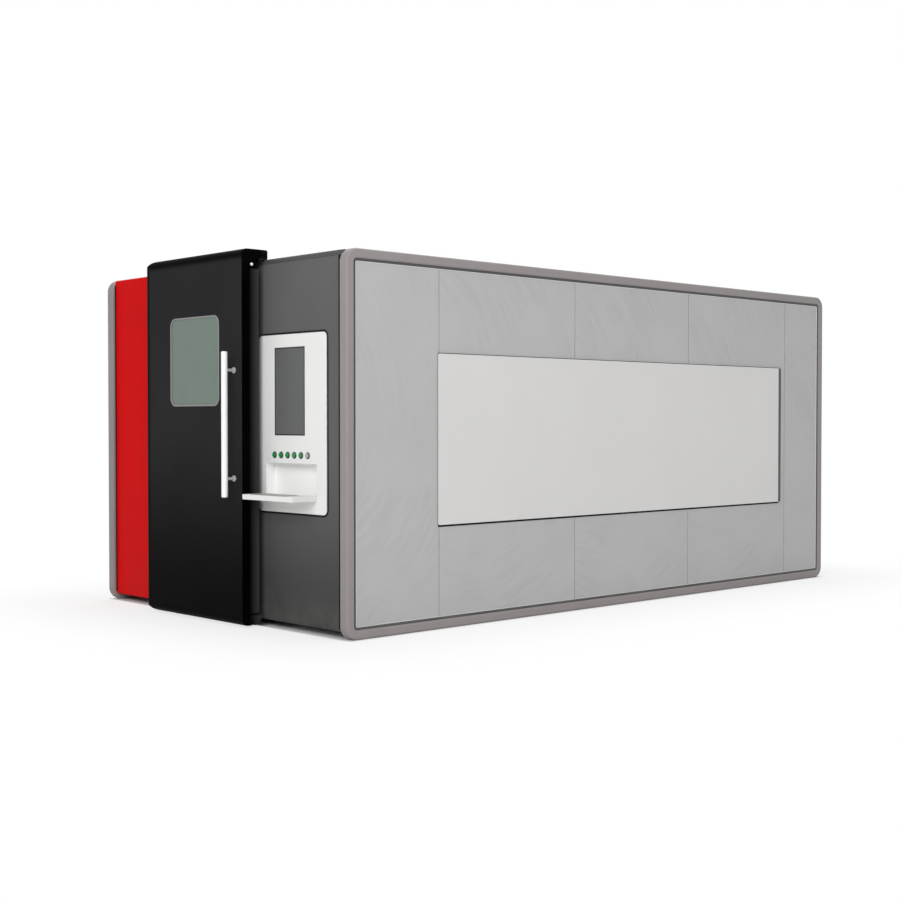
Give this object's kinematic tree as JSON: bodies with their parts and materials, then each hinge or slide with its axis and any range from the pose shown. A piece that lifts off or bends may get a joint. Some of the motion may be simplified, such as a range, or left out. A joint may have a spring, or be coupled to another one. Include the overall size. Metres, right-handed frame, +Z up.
{
  "type": "laser cutting machine",
  "caption": "Enclosed sheet-metal laser cutter with round-cornered side frames, a sliding service door with window, a console with keyboard tray, and a rack-driven gantry over a slat table.",
  "frame": {"origin": "middle of the footprint, on the floor", "axes": "+X from the door end to the loading end, +Y to the left side seen from the door end looking in, +Z up"},
  "size_m": [5.15, 2.62, 2.252],
  "materials": {
    "frame_paint": "satin mauve-grey paint",
    "panel_grey": "fine textured light grey paint",
    "cover_white": "satin white paint",
    "inner_dark": "fine textured dark grey paint",
    "wall_dark": "fine textured dark grey paint",
    "wall_red": "satin red paint",
    "door_black": "satin black paint",
    "window_glass": "tinted laser safety glass",
    "seal_rubber": "matt black rubber",
    "handle_metal": "satin anodised",
    "plated_steel": "zinc plated",
    "console_white": "satin white paint",
    "screen_black": "glossy dark screen",
    "collar_metal": "satin",
    "button_green": "glossy green",
    "button_grey": "glossy grey",
    "cabinet_grey": "fine textured grey paint",
    "source_dark": "fine textured black paint",
    "bed_paint": "blue-grey machine paint",
    "ground_steel": "ground",
    "gear_steel": "ground and oiled",
    "slat_steel": "mill scale, scorched",
    "duct_zinc": "galvanised",
    "lift_grey": "fine textured grey paint",
    "beam_cast": "cast and milled",
    "motor_black": "black paint",
    "head_white": "white paint",
    "nozzle_copper": "machined copper"
  },
  "bodies": {
    "enclosure": {"right_side_frame": "frame_paint", "left_side_frame": "frame_paint", "right_panels": "panel_grey", "left_panels": "panel_grey", "cover_panels": "cover_white", "inner_frame": "inner_dark", "roof_panels": "panel_grey", "console_wall": "wall_dark", "red_wall": "wall_red", "door_frame": "inner_dark", "rear_wall": "inner_dark", "lift_guides": "plated_steel", "levelling_feet": "plated_steel", "door_rail": "plated_steel", "floor_guides": "plated_steel", "console_housing": "console_white", "console_screen": "screen_black", "button_collars": "collar_metal", "tray_hinge_pin": "plated_steel", "control_cabinet": "cabinet_grey", "laser_source": "source_dark", "machine_bed": "bed_paint", "x_rails": "ground_steel", "x_racks": "gear_steel", "slat_frame": "bed_paint", "support_slats": "slat_steel", "slag_trays": "slat_steel", "fume_duct": "duct_zinc"},
    "door": {"door_leaf": "door_black", "door_window": "window_glass", "window_seal": "seal_rubber", "door_hood": "door_black", "door_handle": "handle_metal", "hanger_arms": "plated_steel"},
    "front_roller": {"door_roller_1": "plated_steel"},
    "back_roller": {"door_roller_2": "plated_steel"},
    "tray": {"keyboard_tray": "console_white"},
    "button_1": {"push_button_1": "button_green"},
    "button_2": {"push_button_2": "button_green"},
    "button_3": {"push_button_3": "button_green"},
    "button_4": {"push_button_4": "button_green"},
    "button_5": {"push_button_5": "button_green"},
    "button_6": {"push_button_6": "button_grey"},
    "loading_door": {"lift_door": "lift_grey"},
    "gantry": {"gantry_beam": "beam_cast", "gantry_saddles": "bed_paint", "x_blocks": "ground_steel", "x_motors": "motor_black", "y_rails": "ground_steel", "y_rack": "gear_steel"},
    "right_pinion": {"x_pinion_right": "gear_steel"},
    "left_pinion": {"x_pinion_left": "gear_steel"},
    "carriage": {"head_carriage": "bed_paint", "y_blocks": "ground_steel", "y_motor": "motor_black", "z_module": "motor_black"},
    "carriage_pinion": {"y_pinion": "gear_steel"},
    "head": {"z_slide": "ground_steel", "cutting_head": "head_white", "nozzle": "nozzle_copper"}
  },
  "joints": [
    {"name": "door_slide", "type": "slide", "parent": "enclosure", "child": "door", "axis": [0, 1, 0], "range_m": [0, 0.69]},
    {"name": "front_roller_turn", "type": "hinge", "parent": "door", "child": "front_roller", "pos_m": [-2.228, -0.2458, 2.2073], "axis": [-1, 0, 0], "range_deg": [0, 1640]},
    {"name": "back_roller_turn", "type": "hinge", "parent": "door", "child": "back_roller", "pos_m": [-2.228, 0.4022, 2.2073], "axis": [-1, 0, 0], "range_deg": [0, 1640]},
    {"name": "tray_fold", "type": "hinge", "parent": "enclosure", "child": "tray", "pos_m": [-2.3054, -0.769, 0.786], "axis": [0, 1, 0], "range_deg": [0, 90]},
    {"name": "button_1_press", "type": "slide", "parent": "enclosure", "child": "button_1", "axis": [1, 0, 0], "range_m": [0, 0.0035], "stiffness_N_per_m": 700},
    {"name": "button_2_press", "type": "slide", "parent": "enclosure", "child": "button_2", "axis": [1, 0, 0], "range_m": [0, 0.0035], "stiffness_N_per_m": 700},
    {"name": "button_3_press", "type": "slide", "parent": "enclosure", "child": "button_3", "axis": [1, 0, 0], "range_m": [0, 0.0035], "stiffness_N_per_m": 700},
    {"name": "button_4_press", "type": "slide", "parent": "enclosure", "child": "button_4", "axis": [1, 0, 0], "range_m": [0, 0.0035], "stiffness_N_per_m": 700},
    {"name": "button_5_press", "type": "slide", "parent": "enclosure", "child": "button_5", "axis": [1, 0, 0], "range_m": [0, 0.0035], "stiffness_N_per_m": 700},
    {"name": "button_6_press", "type": "slide", "parent": "enclosure", "child": "button_6", "axis": [1, 0, 0], "range_m": [0, 0.0035], "stiffness_N_per_m": 700},
    {"name": "loading_door_lift", "type": "slide", "parent": "enclosure", "child": "loading_door", "axis": [0, 0, 1], "range_m": [0, 0.44]},
    {"name": "gantry_travel", "type": "slide", "parent": "enclosure", "child": "gantry", "axis": [1, 0, 0], "range_m": [0, 3]},
    {"name": "right_pinion_turn", "type": "hinge", "parent": "gantry", "child": "right_pinion", "pos_m": [-1.346, -1.041, 0.73], "axis": [0, 0, 1], "range_deg": [0, 4310]},
    {"name": "left_pinion_turn", "type": "hinge", "parent": "gantry", "child": "left_pinion", "pos_m": [-1.346, 1.041, 0.73], "axis": [0, 0, -1], "range_deg": [0, 4310]},
    {"name": "carriage_travel", "type": "slide", "parent": "gantry", "child": "carriage", "axis": [0, 1, 0], "range_m": [-0.75, 0.75]},
    {"name": "carriage_pinion_turn", "type": "hinge", "parent": "carriage", "child": "carriage_pinion", "pos_m": [-1.4, 0.132, 1.117], "axis": [-1, 0, 0], "range_deg": [-1080, 1080]},
    {"name": "head_travel", "type": "slide", "parent": "carriage", "child": "head", "axis": [0, 0, -1], "range_m": [0, 0.09]}
  ],
  "couplings": [
    {"joint": "front_roller_turn", "follows": "door_slide", "rad_per_m": 41.152},
    {"joint": "back_roller_turn", "follows": "door_slide", "rad_per_m": 41.152},
    {"joint": "right_pinion_turn", "follows": "gantry_travel", "rad_per_m": 25},
    {"joint": "left_pinion_turn", "follows": "gantry_travel", "rad_per_m": 25},
    {"joint": "carriage_pinion_turn", "follows": "carriage_travel", "rad_per_m": 25}
  ]
}
